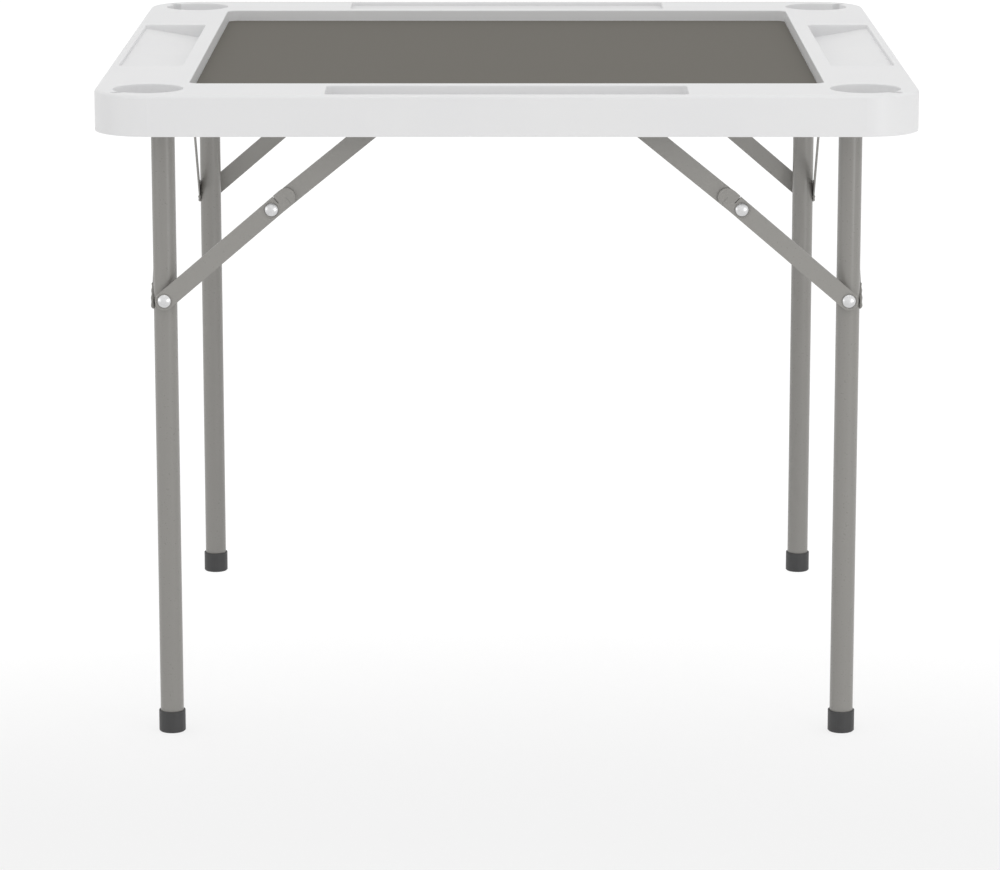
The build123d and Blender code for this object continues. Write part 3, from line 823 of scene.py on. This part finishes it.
floor_shape = bmesh.new()
bmesh.ops.create_grid(
    floor_shape, x_segments=FLOOR_SEGMENTS, y_segments=FLOOR_SEGMENTS, size=FLOOR_HALF
)
floor_mesh = bpy.data.meshes.new("studio_floor")
floor_shape.to_mesh(floor_mesh)
floor_shape.free()
studio_floor = bpy.data.objects.new("studio_floor", floor_mesh)
bpy.context.scene.collection.objects.link(studio_floor)


def seamless_paper():
    """White studio paper: it glows to white where the camera sees it, keeps a soft shadow, and is
    clear from behind, so that the underside of the table can be looked at."""
    material, tree, place = new_material("seamless_paper")
    ray = add_node(tree, "ShaderNodeLightPath", {})
    seen = add_node(
        tree,
        "ShaderNodeMath",
        {0: ray.outputs["Is Camera Ray"], 1: ray.outputs["Is Glossy Ray"]},
        operation="MAXIMUM",
    )
    depth = add_node(tree, "ShaderNodeSeparateXYZ", {"Vector": place}).outputs["Y"]
    glow = add_node(
        tree,
        "ShaderNodeMapRange",
        {
            "Value": depth,
            "From Min": FLOOR_NEAR,
            "From Max": FLOOR_FAR,
            "To Min": FLOOR_GLOW_NEAR,
            "To Max": FLOOR_GLOW_FAR,
        },
        interpolation_type="SMOOTHSTEP",
    )
    lit = add_node(tree, "ShaderNodeEmission", {"Strength": glow.outputs["Result"]})
    shadowed = add_node(tree, "ShaderNodeBsdfDiffuse", {"Color": linear(FLOOR_SHADOW_TONE)})
    shown = add_node(
        tree, "ShaderNodeAddShader", {0: lit.outputs["Emission"], 1: shadowed.outputs["BSDF"]}
    )
    paper = add_node(tree, "ShaderNodeBsdfDiffuse", {"Color": linear(FLOOR_WHITE)})
    above = add_node(
        tree,
        "ShaderNodeMixShader",
        {0: seen.outputs["Value"], 1: paper.outputs["BSDF"], 2: shown.outputs["Shader"]},
    )
    behind = add_node(tree, "ShaderNodeNewGeometry", {}).outputs["Backfacing"]
    clear = add_node(tree, "ShaderNodeBsdfTransparent", {})
    surface = add_node(
        tree,
        "ShaderNodeMixShader",
        {0: behind, 1: above.outputs["Shader"], 2: clear.outputs["BSDF"]},
    )
    add_node(tree, "ShaderNodeOutputMaterial", {"Surface": surface.outputs["Shader"]})
    return material


floor_mesh.materials.append(seamless_paper())

world = bpy.data.worlds.new("white_surround")
world.use_nodes = True
world.node_tree.nodes.clear()
rays = add_node(world.node_tree, "ShaderNodeLightPath", {})
looking = add_node(
    world.node_tree,
    "ShaderNodeMath",
    {0: rays.outputs["Is Camera Ray"], 1: rays.outputs["Is Glossy Ray"]},
    operation="MAXIMUM",
)
seen_through = add_node(
    world.node_tree,
    "ShaderNodeMath",
    {0: looking.outputs["Value"], 1: rays.outputs["Is Transmission Ray"]},
    operation="MAXIMUM",
)
strength = add_node(
    world.node_tree,
    "ShaderNodeMapRange",
    {
        "Value": seen_through.outputs["Value"],
        "To Min": SURROUND_STRENGTH,
        "To Max": SURROUND_SEEN_STRENGTH,
    },
)
surround = add_node(
    world.node_tree,
    "ShaderNodeBackground",
    {"Color": linear(SURROUND_WHITE), "Strength": strength.outputs["Result"]},
)
add_node(world.node_tree, "ShaderNodeOutputWorld", {"Surface": surround.outputs["Background"]})
bpy.context.scene.world = world

for name, lamp in LAMPS.items():
    light = bpy.data.lights.new(name, "AREA")
    light.size = lamp["size"]
    light.energy = lamp["power"]
    softbox = bpy.data.objects.new(name, light)
    softbox.location = lamp["place"]
    away = Vector(lamp["place"]) - Vector(LAMP_AIM)
    softbox.rotation_euler = away.to_track_quat("Z", "Y").to_euler()
    bpy.context.scene.collection.objects.link(softbox)
